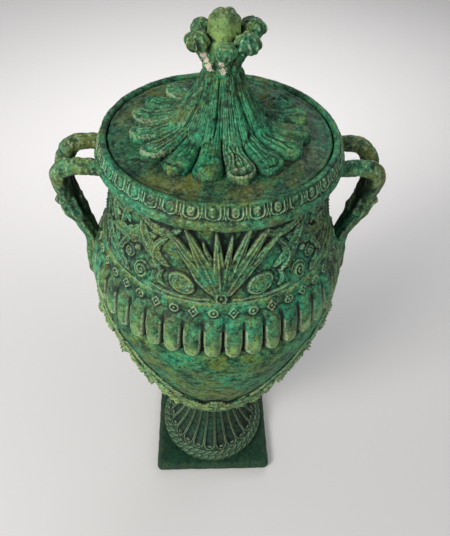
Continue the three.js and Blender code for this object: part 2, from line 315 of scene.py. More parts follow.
def alongAt(surface, level):
    return float(np.interp(level, surface["section"][:, 1], surface["length"]))


def angleBetween(angle, middle):
    return (angle - middle + math.pi) % (2 * math.pi) - math.pi


def dome(share, power=2.0):
    return np.sqrt(np.clip(1 - np.abs(share) ** power, 0, 1))


def ridge(offset, width):
    return np.exp(-(offset / width) ** 2)


def waves(places, size, seed, count=14):
    # soft unevenness of about one size, from a few seeded waves
    draw = np.random.default_rng(seed)
    total = np.zeros(len(places))
    for wave in range(count):
        heading = draw.normal(size=3)
        heading *= 2 * math.pi / size * draw.uniform(0.6, 1.5) / np.linalg.norm(heading)
        total += np.sin(places @ heading + draw.uniform(0, 6.28))
    return total / math.sqrt(count / 2)


def stampLeaf(surface, height, spine, width, rise, rib=3.4, lobes=0, lobeDepth=0.25, tip=0.5,
              edge=0.35, lean=1.3, climb=0.9, lineWidth=0.1, arch=3, veins=0.14):
    # A carved leaf. The spine is three points of angle in degrees and level. The leaf has
    # a midrib, side ribs that lean towards its tip, and a raised edge.
    middle = math.radians(spine[1][0])
    reach = float(np.interp(spine[1][1], surface["section"][:, 1], surface["section"][:, 0]))
    across = angleBetween(surface["angle"], middle) * reach
    ends = np.array([[math.radians(a - spine[1][0]) * reach, alongAt(surface, z)] for a, z in spine])
    share = np.linspace(0, 1, 120)
    bent = 2 * ends[1] - 0.5 * (ends[0] + ends[2])
    path = ((1 - share) ** 2)[:, None] * ends[0] + (2 * share * (1 - share))[:, None] * bent
    path += (share ** 2)[:, None] * ends[2]
    low = path.min(axis=0) - width
    high = path.max(axis=0) + width
    near = surface["on"] & (across > low[0]) & (across < high[0])
    near &= (surface["along"] > low[1]) & (surface["along"] < high[1])
    here = np.nonzero(near)[0]
    if not len(here):
        return
    spots = np.stack([across[here], surface["along"][here]], axis=1)
    gaps = spots[:, None, :] - path[None, :, :]
    apart = np.hypot(gaps[:, :, 0], gaps[:, :, 1])
    nearest = apart.argmin(axis=1)
    place = share[nearest]
    heading = np.gradient(path, axis=0)[nearest]
    heading /= np.hypot(heading[:, 0], heading[:, 1])[:, None]
    gap = gaps[np.arange(len(here)), nearest]
    side = gap[:, 0] * heading[:, 1] - gap[:, 1] * heading[:, 0]
    length = np.hypot(*np.diff(path, axis=0).T).sum()
    swell = np.clip(place / 0.42, 0, 1) ** 0.6 * np.clip((1 - place) / (1 - 0.42), 0, 1) ** tip
    half = width / 2 * np.clip(0.18 + 0.82 * swell, 0.05, 1)
    if lobes:
        half = half * (1 - lobeDepth * np.abs(np.cos(math.pi * lobes * place)) ** 3)
    past = gap[:, 0] * heading[:, 0] + gap[:, 1] * heading[:, 1]
    past = np.where((place <= 0) | (place >= 1), past, 0)
    outward = np.hypot(side, past) / half                # 1 at the leaf's edge
    ribs = 0.5 + 0.5 * np.cos(2 * math.pi * (place * length - lean * np.abs(side)) / rib)
    form = dome(outward, arch) * (0.62 + veins * ribs) + 0.3 * ridge(side, 0.9)
    form += edge * ridge(outward - 0.96 + lineWidth, lineWidth)
    form *= np.clip((1 - outward) / 0.12, 0, 1) ** 0.7
    form *= np.clip(1.3 - climb + climb * place, 0, 1.15)
    height[here] = np.maximum(height[here], rise * form * (outward < 1))


def stampDisc(surface, height, angle, level, shape):
    # a round or oval motif: shape gets the distances across and up from its middle
    middle = math.radians(angle)
    reach = float(np.interp(level, surface["section"][:, 1], surface["section"][:, 0]))
    across = angleBetween(surface["angle"], middle) * reach
    rise = surface["along"] - alongAt(surface, level)
    here = np.nonzero(surface["on"] & (np.abs(across) < 24) & (np.abs(rise) < 24))[0]
    raised = shape(across[here], rise[here])
    height[here] = np.maximum(height[here], raised)


def rosette(size, rise, petals=0):
    def shape(x, y):
        reach = np.hypot(x, y)
        wave = 1 + 0.12 * np.cos(petals * np.arctan2(y, x)) if petals else 1
        rim = ridge(reach - 0.72 * size * wave, 0.17 * size)
        eye = 0.9 * ridge(reach, 0.26 * size)
        raised = np.maximum(rim, eye) + 0.15 * dome(reach / (1.15 * size))
        return rise * np.where(reach < 1.15 * size, raised, 0)
    return shape


def lozenge(size, rise):
    def shape(x, y):
        reach = np.abs(x) + np.abs(y) / 1.25
        rim = ridge(reach - 0.78 * size, 0.17 * size)
        eye = 0.9 * ridge(np.hypot(x, y), 0.26 * size)
        return rise * np.where(reach < 1.3 * size, np.maximum(rim, eye), 0)
    return shape


def pod(wide, tall, tilt, rise):
    # a shell with fine lines that follow its outline
    lean = math.radians(tilt)

    def shape(x, y):
        a = (x * math.cos(lean) + y * math.sin(lean)) / wide
        b = (y * math.cos(lean) - x * math.sin(lean)) / tall
        reach = np.hypot(a, b)
        lines = 0.5 + 0.5 * np.cos(2 * math.pi * reach * 5)
        form = dome(reach, 3) * (0.62 + 0.16 * lines) + 0.2 * ridge(reach - 0.88, 0.09)
        return rise * np.where(reach < 1, form, 0)
    return shape


def volute(size, rise, hand):
    def shape(x, y):
        reach = np.hypot(x, y)
        turn = np.arctan2(y, hand * x) / (2 * math.pi)
        coil = np.cos(2 * math.pi * (reach / (0.42 * size) - turn))
        form = 0.62 + 0.38 * np.clip(coil, -0.8, 1)
        form *= np.clip((size - reach) / (0.45 * size), 0, 1) ** 0.6
        return rise * np.where(reach < size, form, 0)
    return shape


def joinAll(name, parts):
    bpy.ops.object.select_all(action="DESELECT")
    for part in parts:
        part.select_set(True)
    bpy.context.view_layer.objects.active = parts[0]
    bpy.ops.object.join()
    piece = bpy.context.object
    piece.name = name
    piece.data.name = name
    return piece


def fuse(piece, voxel):
    # the overlapping forms become one skin
    bpy.ops.object.select_all(action="DESELECT")
    bpy.context.view_layer.objects.active = piece
    piece.select_set(True)
    skin = piece.modifiers.new("oneSkin", "REMESH")
    skin.mode = "VOXEL"
    skin.voxel_size = voxel * mm
    skin.adaptivity = 0
    bpy.ops.object.modifier_apply(modifier=skin.name)
    bpy.ops.object.shade_smooth()
    return piece


def readNormals(piece):
    flat = np.empty(3 * len(piece.data.vertices))
    piece.data.vertices.foreach_get("normal", flat)
    return flat.reshape(-1, 3)


# the same depth below its surroundings counts as a hollow for grime and painted shade; a broad rise gets a
# painted highlight
wearAndLightScale = {"fine": 0.42, "broad": 2.4}    # height over its surroundings that counts as a crest


def markWearAndLight(piece, chips=(), warm=(), paleAndHighlight=(), calm=1.0, shade=0.0):
    # Crests and hollows are read from the shape itself, so that the finish can be rubbed light on what
    # stands out, carry a painted highlight on broad rises, and stay dark with grime and painted shade in
    # what lies deep.
    # The given shade is painted shade added to the hollows.
    places = readPlaces(piece)
    count = len(places)
    ends = np.empty(2 * len(piece.data.edges), int)
    piece.data.edges.foreach_get("vertices", ends)
    ends = ends.reshape(-1, 2)
    start = np.concatenate([ends[:, 0], ends[:, 1]])
    stop = np.concatenate([ends[:, 1], ends[:, 0]])
    links = np.maximum(np.bincount(start, minlength=count), 1)
    normals = readNormals(piece)

    def relaxed(spots, rounds):
        for turn in range(rounds):
            sums = [np.bincount(start, spots[stop, axis], count) for axis in range(3)]
            spots = np.stack(sums, axis=1) / links[:, None]
        return spots

    near = relaxed(places, 3)
    far = relaxed(near, 24)
    sharp = ((places - near) * normals).sum(axis=1)
    deep = ((places - far) * normals).sum(axis=1)
    crest = np.clip(sharp / wearAndLightScale["fine"], 0, 1) * calm
    # high is a painted highlight on broad rises; the hollow mark is grime in fine creases, painted shade in
    # broad hollows, and the given painted shade
    high = np.clip(deep / wearAndLightScale["broad"], 0, 1)
    grimeAndShade = 0.4 * np.clip(-sharp / wearAndLightScale["fine"], 0, 1) + 0.8 * np.clip(-deep / wearAndLightScale["broad"], 0, 1)
    grimeAndShade += shade
    chip = np.zeros(count)
    for first, last, size in chips:
        first, last = np.array(first, float), np.array(last, float)
        share = np.clip((places - first) @ (last - first) / max(((last - first) ** 2).sum(), 1e-6), 0, 1)
        apart = np.linalg.norm(places - first - share[:, None] * (last - first), axis=1)
        chip = np.maximum(chip, np.clip(1.5 - apart / size, 0, 1))
    tints = []
    for spots in (warm, paleAndHighlight):
        tint = np.zeros(count)
        if isinstance(spots, np.ndarray):
            tint = spots
        else:
            for spot, size in spots:
                tint = np.maximum(tint, ridge(np.linalg.norm(places - np.array(spot), axis=1), size))
        tints.append(tint)
    for title, values in (("crest", crest), ("high", high), ("grimeAndShade", grimeAndShade), ("chip", chip),
                          ("warm", tints[0]), ("paleAndHighlight", tints[1])):
        layer = piece.data.attributes.new(title, "FLOAT", "POINT")
        layer.data.foreach_set("value", np.clip(values, 0, 1).astype(np.float32))


# The finish: greens in layers over cast stone, rubbed light on the crests, with painted highlights on the
# rises and painted shade in the hollows

finish = {
    # near black, laid as grime and painted shade in the hollows
    "deep": (0.002, 0.008, 0.006),
    "dark": (0.005, 0.026, 0.015),
    "green": (0.033, 0.155, 0.054),
    "teal": (0.014, 0.3, 0.15),
    "olive": (0.12, 0.145, 0.018),
    # laid as a painted highlight on rises and on surfaces that face up
    "limeHighlight": (0.24, 0.35, 0.055),
    "rubbed": (0.42, 0.52, 0.29),
    "rust": (0.1, 0.05, 0.014),
    "ochre": (0.25, 0.2, 0.06),
    # laid on pale spots and as a painted highlight
    "paleAndHighlight": (0.3, 0.46, 0.12),
    "mint": (0.11, 0.42, 0.22),
    "moss": (0.13, 0.25, 0.05),
    "stone": (0.66, 0.56, 0.45),
}


def makePatina(name, olive=0.5, teal=0.5, limeHighlight=0.45, top=0.1, moss=0.3, dark=0.0,
               rubbed=1.0, gloss=0.3, seed=0.0):
    material = bpy.data.materials.new(name)
    material.use_nodes = True
    tree = material.node_tree
    tree.nodes.clear()

    def node(kind, **settings):
        made = tree.nodes.new(kind)
        for key, value in settings.items():
            setattr(made, key, value)
        return made

    def link(a, b):
        tree.links.new(a, b)

    def number(source, socket):
        if isinstance(source, (int, float)):
            socket.default_value = source
        else:
            link(source, socket)

    def math2(operation, a, b=0.0, clamp=False):
        made = node("ShaderNodeMath", operation=operation, use_clamp=clamp)
        number(a, made.inputs[0])
        number(b, made.inputs[1])
        return made.outputs[0]

    def span(source, low, high):
        made = node("ShaderNodeMapRange", clamp=True, interpolation_type="SMOOTHSTEP")
        link(source, made.inputs["Value"])
        made.inputs["From Min"].default_value = low
        made.inputs["From Max"].default_value = high
        return made.outputs["Result"]

    coordinates = node("ShaderNodeTexCoord").outputs["Object"]
    shift = node("ShaderNodeMapping")
    shift.inputs["Location"].default_value = (seed, 1.7 * seed, -seed)
    link(coordinates, shift.inputs["Vector"])

    def noise(scale, detail, rough):
        made = node("ShaderNodeTexNoise")
        made.inputs["Scale"].default_value = scale
        made.inputs["Detail"].default_value = detail
        made.inputs["Roughness"].default_value = rough
        link(shift.outputs[0], made.inputs["Vector"])
        return made.outputs["Fac"]

    def mix(amount, under, over):
        made = node("ShaderNodeMix", data_type="RGBA", blend_type="MIX")
        number(amount, made.inputs["Factor"])
        for value, socket in ((under, made.inputs[6]), (over, made.inputs[7])):
            if isinstance(value, tuple):
                socket.default_value = (*value, 1)
            else:
                link(value, socket)
        return made.outputs[2]

    def attribute(title):
        return node("ShaderNodeAttribute", attribute_name=title).outputs["Fac"]

    crest = attribute("crest")
    high = attribute("high")
    grimeAndShade = attribute("grimeAndShade")
    chip = attribute("chip")
    paleAndHighlight = attribute("paleAndHighlight")
    facing = node("ShaderNodeSeparateXYZ")
    link(node("ShaderNodeNewGeometry").outputs["Normal"], facing.inputs[0])
    # how far a face turns up, for a painted highlight from above
    upFacingLight = span(facing.outputs[2], 0.0, 0.95)

    broad = noise(8, 9, 0.68)
    patches = noise(20, 10, 0.72)
    drift = noise(47, 9, 0.74)
    mottle = noise(125, 8, 0.74)
    grit = noise(400, 6, 0.78)
    smear = noise(31, 9, 0.72)
    fleck = noise(230, 8, 0.8)

    def product(*shares):
        total = shares[0]
        for share in shares[1:]:
            total = math2("MULTIPLY", total, share, True)
        return total

    def laid(under, tone, *shares):
        # one more colour over those below, as strong as the product of its shares
        return mix(product(*shares), under, finish[tone])

    # old coats, in patches from broad to small
    colour = mix(span(mottle, 0.41, 0.58), finish["dark"], finish["green"])
    colour = laid(colour, "moss", span(drift, 0.42, 0.6), span(mottle, 0.4, 0.56), moss)
    colour = laid(colour, "teal", span(patches, 0.48, 0.59), span(mottle, 0.38, 0.56), 0.35 + 0.65 * teal)
    colour = laid(colour, "teal", span(broad, 0.5, 0.6), span(drift, 0.4, 0.58), 0.25 + 0.55 * teal)
    colour = laid(colour, "olive", span(broad, 0.51, 0.42), span(drift, 0.43, 0.57), 0.4 + 0.6 * olive)
    # painted highlight in lime where it stands out or faces up, and the tinted spots
    raised = math2("ADD", math2("MULTIPLY", high, 0.9), math2("MULTIPLY", upFacingLight, top))
    colour = laid(colour, "limeHighlight", raised, span(drift, 0.48, 0.6), span(grit, 0.4, 0.54), limeHighlight)
    colour = laid(colour, "ochre", attribute("warm"), span(mottle, 0.42, 0.56), 0.65)
    # pale spots, partly a paler tone and partly a painted highlight
    colour = laid(colour, "paleAndHighlight", paleAndHighlight, span(mottle, 0.3, 0.47), 0.9)
    colour = laid(colour, "rust", span(smear, 0.54, 0.64), span(mottle, 0.4, 0.56), 0.8)
    # grime, less of it on the pale spots and painted highlights, and bright flecks
    rest = math2("SUBTRACT", 1.0, math2("MULTIPLY", paleAndHighlight, 0.75))
    colour = laid(colour, "dark", span(drift, 0.48, 0.38), rest, 0.6)
    colour = laid(colour, "dark", span(grit, 0.5, 0.42), rest, 0.75)
    colour = laid(colour, "mint", span(fleck, 0.51, 0.6), span(mottle, 0.42, 0.56), 0.6)
    if dark:
        colour = mix(dark, colour, finish["dark"])
    # rubbed crests, grime and painted shade in the hollows, and chips down to the stone
    colour = laid(colour, "rubbed", span(crest, 0.3, 0.85), span(grit, 0.38, 0.54), 0.9 * rubbed)
    colour = laid(colour, "deep", span(grimeAndShade, 0.06, 0.65), 0.96)
    ragged = math2("SUBTRACT", math2("ADD", chip, 2.05), math2("MULTIPLY", noise(190, 6, 0.75), 5.0))
    colour = laid(colour, "stone", span(ragged, 0.05, 0.35), span(chip, 0.02, 0.12), span(grit, 0.36, 0.46))

    shader = node("ShaderNodeBsdfPrincipled")
    shader.inputs["IOR"].default_value = 1.5
    shader.inputs["Specular IOR Level"].default_value = gloss
    link(colour, shader.inputs["Base Color"])
    rough = node("ShaderNodeMapRange")
    link(mottle, rough.inputs["Value"])
    rough.inputs["From Min"].default_value = 0.3
    rough.inputs["From Max"].default_value = 0.7
    rough.inputs["To Min"].default_value = 0.66
    rough.inputs["To Max"].default_value = 0.42
    link(rough.outputs["Result"], shader.inputs["Roughness"])
    grain = math2("ADD", math2("MULTIPLY", grit, 0.6), noise(150, 6, 0.66))
    bump = node("ShaderNodeBump")
    bump.inputs["Strength"].default_value = 0.55
    bump.inputs["Distance"].default_value = 0.0022
    link(grain, bump.inputs["Height"])
    link(bump.outputs["Normal"], shader.inputs["Normal"])
    output = node("ShaderNodeOutputMaterial")
    link(shader.outputs[0], output.inputs[0])
    return material


patinas = {
    "neck": makePatina("neckPatina", olive=0.45, teal=0.75, limeHighlight=0.6, top=0.25, rubbed=0.45, seed=0.31),
    "shoulder": makePatina("gadroonPatina", olive=0.5, teal=0.85, limeHighlight=0.9, rubbed=0.7, seed=1.4),
    "bowl": makePatina("bowlPatina", olive=0.6, teal=0.6, limeHighlight=0.6, top=0.5, moss=1.0, rubbed=0.6,
                       gloss=0.1, seed=2.2),
    "lip": makePatina("lipPatina", olive=0.6, teal=0.5, limeHighlight=0.35, rubbed=0.8, seed=3.1),
    "lid": makePatina("lidPatina", olive=1.0, teal=0.3, limeHighlight=0.2, moss=0.1, dark=0.25, rubbed=0.5,
                      seed=4.6),
    "leaves": makePatina("lidLeafPatina", olive=0.7, teal=0.85, limeHighlight=0.5, top=0.2, rubbed=0.6, seed=5.2),
    "handle": makePatina("handlePatina", olive=1.0, teal=0.5, limeHighlight=0.35, top=0.5, moss=0.8, rubbed=0.6,
                         seed=6.7),
    "foot": makePatina("footPatina", olive=0.5, teal=0.3, dark=0.68, rubbed=0.5, seed=7.9),
    "plinth": makePatina("plinthPatina", olive=0.2, teal=0.2, dark=0.86, rubbed=0.04, gloss=0.15,
                         seed=8.3),
    "finial": makePatina("finialPatina", olive=0.7, teal=0.55, limeHighlight=0.5, top=0.3, rubbed=0.8, seed=9.1),
}
print("finishes mixed")


def settle(piece, material, node, chips=(), warm=(), paleAndHighlight=(), calm=1.0, shade=0.0):
    markWearAndLight(piece, chips, warm, paleAndHighlight, calm, shade)
    piece.data.materials.clear()
    piece.data.materials.append(material)
    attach(piece, "root")
    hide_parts(node)


# The plinth

plinthSize = {"side": 220, "height": 20, "cornerCut": 9, "edge": 1.6, "skin": 3.2}


def makePlinth(size):
    bpy.ops.object.select_all(action="DESELECT")
    bpy.ops.mesh.primitive_cube_add(size=1, location=(0, 0, 0))
    piece = bpy.context.object
    piece.name = "plinth"
    places = readPlaces(piece) / 1000
    places[:, :2] *= size["side"]
    places[:, 2] = (places[:, 2] + 0.5) * size["height"]
    writePlaces(piece, places)
    for edge in piece.data.edges:
        a, b = (piece.data.vertices[i].co for i in edge.vertices)
        edge.select = abs(a.z - b.z) > 0.01
    for vertex in piece.data.vertices:
        vertex.select = False
    for face in piece.data.polygons:
        face.select = False
    bpy.ops.object.mode_set(mode="EDIT")
    bpy.ops.mesh.select_mode(type="EDGE")
    bpy.ops.mesh.bevel(offset=size["cornerCut"] * mm, segments=3, profile=0.5)
    bpy.ops.mesh.select_all(action="SELECT")
    bpy.ops.mesh.select_mode(type="VERT")
    bpy.ops.object.mode_set(mode="OBJECT")
    rounding = piece.modifiers.new("softEdge", "BEVEL")
    rounding.width = size["edge"] * mm
    rounding.segments = 2
    bpy.ops.object.modifier_apply(modifier=rounding.name)
    fuse(piece, size["skin"])
    places = readPlaces(piece)
    normals = readNormals(piece)
    dents = 0.28 * waves(places, 26, 3) + 0.14 * waves(places, 9, 4)
    inside = np.clip(places[:, 2] / 2, 0, 1)
    places += normals * (np.minimum(dents, 0.2) * inside - 0.25)[:, None]
    places[:, 2] = np.maximum(places[:, 2], 0)
    writePlaces(piece, places)
    settle(piece, patinas["plinth"], "vase")


makePlinth(plinthSize)
print("plinth made")


# The foot: a wreath of leaves, hollow flutes and a collar

wreathSize = {
    "outline": [(84, 18.6), (93, 19.6), (97, 25), (96.5, 31), (92, 37), (85, 41.4), (80, 43)],
    "columns": 440,
    "leaves": 44,
    "rows": ((26, 34, 34, 0), (22, 27, 21, 0.5), (35, 40, 40, 0.5)),    # three levels, and a shift
}
footSize = {
    "outline": [(88.5, 40), (86.5, 42), (81.5, 47), (73, 57), (63.5, 71.6), (53.5, 92), (47.3, 110.4),
                (43, 130), (41, 143)],
    "flutes": 22,
    "turn": 3.1,            # degrees
    "depth": 4.6,
    "hollowWidth": 0.41,    # share of the pitch, to each side
    "rim": 1.5,
    "begin": 5.0,           # where the hollows start, along the outline
}
collarSize = {
    "outline": [(40, 139.5), (47, 141), (53, 144), (54.5, 145.5), (58.6, 147.4), (60, 151.2),
                (58.6, 155), (55.6, 157), (56.2, 159.4), (55, 162), (52, 164), (52.5, 168)],
    "columns": 200,
}


def makeWreath(size):
    outer = smoothPath(size["outline"], 1.0)
    inner = np.array([(72, 43), (72, 19)])
    piece = turned("wreath", outer, inner, size["columns"])
    surface = readSurface(piece, outer)
    height = np.full(len(surface["angle"]), -1.2)
    step = 360 / size["leaves"]
    for leaf in range(size["leaves"]):
        for low, high, end, shift in size["rows"]:
            start = (leaf + shift) * step
            spine = [(start, low), (start + 0.55 * step, 0.5 * (low + high)), (start + 1.25 * step, end)]
            stampLeaf(surface, height, spine, 9.5, 2.6, rib=2.4, tip=0.6)
    pushOut(piece, surface, height)
    settle(piece, patinas["foot"], "vase")


def makeFlutedFoot(size):
    outer = smoothPath(size["outline"], 1.4)
    inner = np.array([(20, 143), (20, 40)])
    piece = turned("flutedFoot", outer, inner, size["flutes"] * 20)
    surface = readSurface(piece, outer)
    radius = surface["radius"]
    pitch = 2 * math.pi / size["flutes"]
    middle = angleBetween(surface["angle"], math.radians(size["turn"] + 180 / size["flutes"]))
    across = (middle / pitch + 0.5) % 1 - 0.5           # 0 in the middle of a hollow
    wide = across * pitch * radius
    half = size["hollowWidth"] * pitch * radius
    endRadius = size["hollowWidth"] * pitch * 82
    below = np.maximum(size["begin"] + endRadius - surface["along"], 0)
    reach = np.hypot(wide / half, below / endRadius)
    fade = np.clip((surface["length"][-1] - surface["along"]) / 30, 0.35, 1)
    scoop = -size["depth"] * dome(reach, 2.2) * fade * np.clip(radius / 66, 0.55, 1)
    rim = size["rim"] * ridge(reach - 1.04, 0.09)
    bead = -0.9 * ridge((np.abs(across) - 0.5) * pitch * radius, 0.6) * (reach > 1.05)
    height = scoop + rim + bead - 1.2 + 0.15 * waves(surface["places"], 12, 21)
    pushOut(piece, surface, height)
    settle(piece, patinas["foot"], "vase")


def makeCollar(size):
    outer = smoothPath(size["outline"], 1.3)
    inner = np.array([(30, 168), (30, 139.5)])
    piece = turned("collar", outer, inner, size["columns"])
    surface = readSurface(piece, outer)
    pushOut(piece, surface, 0.2 * waves(surface["places"], 14, 5) - 0.3)
    settle(piece, patinas["foot"], "vase")


makeWreath(wreathSize)
makeFlutedFoot(footSize)
makeCollar(collarSize)
print("foot made")


# The bowl, with leaves climbing from the collar and a spray below each handle

bowlSize = {
    "curve": [(52.5, 165), (91.6, 172.3), (168.3, 433.9), (165, 499)],
    "inside": [(144, 505), (145, 460), (137, 410), (120, 360), (101, 315), (82, 270), (66, 235),
               (52, 210), (34, 198), (0, 197)],
    "step": 2.6,
    "columns": 392,
    "leafRise": 4.6,
    "lowLeaves": ((-17, 290, 32), (17, 290, 32), (0, 322, 44)),         # lean, top and width
    "sprayRise": 10,
    "sprayLeaves": 11,
    "spray": {"level": [284, 300, 325, 350, 375, 400, 425, 450, 470, 486],
              "angle": [14, 29, 39, 47.5, 53.5, 59.5, 65, 71, 80, 89]},
    "rubbedSpots": [((12, -146, 350), 30), ((-74, -112, 330), 20)],
}


def makeBowl(size):
    outer = np.vstack([curvePoints(size["curve"], size["step"]), [(164.2, 502)], [(158, 505)]])
    bottom = np.array([(0, 167), (30, 166)])
    section = np.vstack([bottom, outer, smoothPath(size["inside"], 9)])
    piece = turned("bowl", section, [], size["columns"], capped=True)
    surface = readSurface(piece, outer)
    height = np.zeros(len(surface["angle"]))
    spray = size["spray"]
    for angle in range(0, 360, 60):
        for lean, top, wide in size["lowLeaves"]:
            spine = [(angle + 0.4 * lean, 174), (angle + 0.8 * lean, 0.5 * (174 + top)), (angle + lean, top)]
            stampLeaf(surface, height, spine, wide, size["leafRise"], rib=5, lobes=4, lobeDepth=0.16,
                      tip=0.45, edge=0.5, lean=0.8)

    def sprayPoint(face, side, level, out):
        # the spray sweeps down from the handle's tail to the middle of the front and back
        return face + side * (float(np.interp(level, spray["level"], spray["angle"])) + out), level

    for face in (0, 180):
        for side in (-1, 1):
            for step in range(size["sprayLeaves"]):
                level = 292 + 18.4 * step
                rise = size["sprayRise"] * (0.9 + 0.25 * math.sin(2.3 * step))
                wide = 32 + 4 * math.sin(1.7 * step)
                fringe = -20 + 5 * math.sin(3.1 * step)
                for out, thick in ((fringe, 0.4), (-10, 0.75), (13, 0.85), (2, 1.0)):
                    spine = [sprayPoint(face, side, level + 21, 0.25 * out),
                             sprayPoint(face, side, level + 4, 0.6 * out),
                             sprayPoint(face, side, level - 15, out)]
                    stampLeaf(surface, height, spine, wide - abs(out) / 3, rise * thick, rib=5.5, lobes=3,
                              lobeDepth=0.16, tip=0.45, edge=0.1, climb=1.1)
            spine = [(face + side * 42, 340), (face + side * 27, 312), (face + side * 8, 300)]
            stampLeaf(surface, height, spine, 42, 6.5, rib=6, lobes=3, lobeDepth=0.12, tip=0.4, edge=0.5)
    places = surface["places"]
    patchy = np.clip(0.5 + 0.6 * waves(places, 46, 11), 0.12, 1)
    # pale on the raised spray leaves, partly a paler tone and partly a painted highlight
    leafPaleAndHighlight = np.where(surface["on"], 0.55 * patchy * np.clip((height - 1) / 5, 0, 1), 0)
    calm = np.clip(height / 1.5, 0.1, 1)
    rough = 0.22 * waves(places, 30, 8) + 0.12 * waves(places * np.array([1, 1, 3.2]), 22, 9)
    streak = np.clip(waves(places * np.array([1, 1, 4.5]), 34, 10), -1, 1)
    height += rough + 0.1 * streak - 0.35
    height -= 3.2 * np.clip((surface["level"] - 468) / 26, 0, 1) ** 1.5    # drawn in under the lobes
    pushOut(piece, surface, height)
    # painted shade under the overhanging lobes, along the bowl's top
    paintedShade = np.where(surface["on"], 0.34 * np.clip((surface["level"] - 489) / 8, 0, 1), 0)
    settle(piece, patinas["bowl"], "vase", warm=size["rubbedSpots"], paleAndHighlight=leafPaleAndHighlight, calm=calm, shade=paintedShade)


makeBowl(bowlSize)
print("bowl made")


# The shoulder: lobes with round lower ends, and a row of rosettes and lozenges

shoulderSize = {
    "curve": [(162.5, 497), (163.7, 536.8), (149.4, 560)],
    "moulding": [(149, 562.2), (148.3, 565), (147.2, 568.4), (146, 571), (144.2, 572.4), (142, 572.8)],
    "lobes": 42,
    "turn": 1.1,            # degrees
    "rise": 5.4,
    "depth": 6.4,
    "width": 0.45,          # share of the pitch, to each side
    "rosette": 6.6,
    "widest": 167.4,
}


def makeShoulder(size):
    outer = np.vstack([[(161.6, 488)], [(162.1, 493)], curvePoints(size["curve"], 1.3),
                       smoothPath(size["moulding"], 1.1)])
    inner = np.array([(124, 572.8), (131, 556), (140, 530), (143.5, 505), (144, 488)])
    piece = turned("gadroonedShoulder", outer, inner, size["lobes"] * 20)
    surface = readSurface(piece, outer)
    draw = np.random.default_rng(12)
    pitch = 2 * math.pi / size["lobes"]
    turn = angleBetween(surface["angle"], math.radians(size["turn"])) / pitch
    lobe = np.floor(turn).astype(int) % size["lobes"]
    across = turn - np.floor(turn) - 0.5
    uneven = draw.uniform(-1, 1, (4, size["lobes"]))[:, lobe]
    width = size["width"] * (1 + 0.04 * uneven[0])
    wide = 165 * pitch * width
    start = alongAt(surface, 496) + 1.4 * uneven[1]
    up = surface["along"] - start
    below = np.maximum(wide - up, 0)
    top = alongAt(surface, 559) - start
    taper = 0.88 + 0.12 * np.clip(up / 26, 0, 1)
    reach = np.hypot(across / width / taper, below / wide)      # 1 at a lobe's edge
    climb = np.clip(up / top, 0, 1)
    body = size["rise"] * (1 + 0.14 * uneven[2]) * (1 - np.clip(reach, 0, 1) ** 2.3)
    body = body * np.clip((0.97 - climb) / 0.14, 0, 1) * (1.35 - 1.0 * climb)
    ground = -size["depth"] * np.clip(up / 9, 0, 1) * np.clip((0.86 - climb) / 0.25, 0, 1)
    ground = np.where(up < 1, -1.4, ground)
    fillet = 2.9 * ridge((np.abs(across) - 0.5) * 165 * pitch, 0.8)
    fillet = fillet * np.clip((up - 20) / 10, 0, 1) * np.clip((0.84 - climb) / 0.15, 0, 1)
    height = np.where(reach < 1, np.maximum(body, ground), ground) + fillet
    for motif in range(size["lobes"]):
        angle = size["turn"] + (motif + 0.5) * 360 / size["lobes"]
        raised = rosette(size["rosette"], 2.4) if motif % 2 else lozenge(size["rosette"], 2.3)
        stampDisc(surface, height, angle, 562.5, raised)
    height += 0.05 * waves(surface["places"], 9, 13) + 0.25 * waves(surface["places"], 27, 14)
    height = np.minimum(height, size["widest"] - surface["radius"])
    pushOut(piece, surface, height)
    # painted highlight on the middle of each lobe, near its round lower end
    lobeHighlight = ridge(across / width, 0.5) * ridge(up - 17, 12) * (0.45 + 0.55 * uneven[3] ** 2)
    lobeHighlight = np.where(surface["on"] & (reach < 0.9), lobeHighlight, 0)
    # painted shade along the lobes' edges and in a line under their round ends
    paintedShade = 0.42 * np.clip((reach - 0.66) / 0.34, 0, 1) ** 1.4 * np.clip((up + 4) / 3, 0, 1)
    paintedShade = np.where(surface["on"], paintedShade * np.clip((0.9 - climb) / 0.15, 0, 1), 0)
    settle(piece, patinas["shoulder"], "vase", paleAndHighlight=lobeHighlight, shade=paintedShade)


makeShoulder(shoulderSize)
print("shoulder made")


# The neck and its frieze, the same at the front and the back

neckSize = {"curve": [(145, 573), (122, 615.8), (122, 668)], "step": 1.1, "columns": 840, "rise": 5.6}
frieze = {
    "blades": (             # turn in degrees and level of the tip, width, share of the rise
        (-26, 652, 22, 1.0), (-17, 660, 21, 1.15), (-9, 644, 12, 0.75), (-2.8, 660, 17, 1.2),
        (4.6, 655, 12, 0.95), (13, 663, 19, 0.95), (21.5, 660, 20, 1.15), (29, 648, 15, 0.95)),
    "smallLeaves": (        # three points of turn and level, then the width
        ((20, 656), (31, 646), (43, 662), 15), ((43, 640), (52, 615), (56, 592), 15),
        ((59, 598), (66, 622), (63, 652), 17), ((27, 640), (34, 619), (29, 600), 13),
        ((86, 582), (89, 610), (82, 642), 15), ((45, 660), (54, 650), (57, 626), 14)),
    "largeLeaves": (        # the same, then the share of the rise, the lobes and how blunt it is
        ((26, 606), (38, 624), (41, 650), 20, 1.0, 0, 0.6),
        ((34, 636), (49, 622), (66, 612), 24, 0.9, 5, 0.5),
        ((47, 578), (60, 590), (75, 607), 22, 1.0, 4, 0.5),
        ((52, 634), (62, 648), (76, 655), 20, 1.0, 4, 0.5),
        ((66, 577), (80, 596), (87, 625), 24, 1.0, 5, 0.5),
        ((72, 610), (79, 632), (84, 657), 22, 1.0, 4, 0.5)),
    "volutes": ((40, 588, 11.5, 3.6, 1), (49, 600, 8.5, 3.4, -1), (33.5, 603, 6.5, 3.2, -1)),
    "berries": ((-26, 646), (44, 611), (57, 587), (-44, 611), (-57, 587), (63, 630), (-63, 630)),
}


def berry(x, y):
    return 3.4 * dome(np.hypot(x, y) / 4.2)


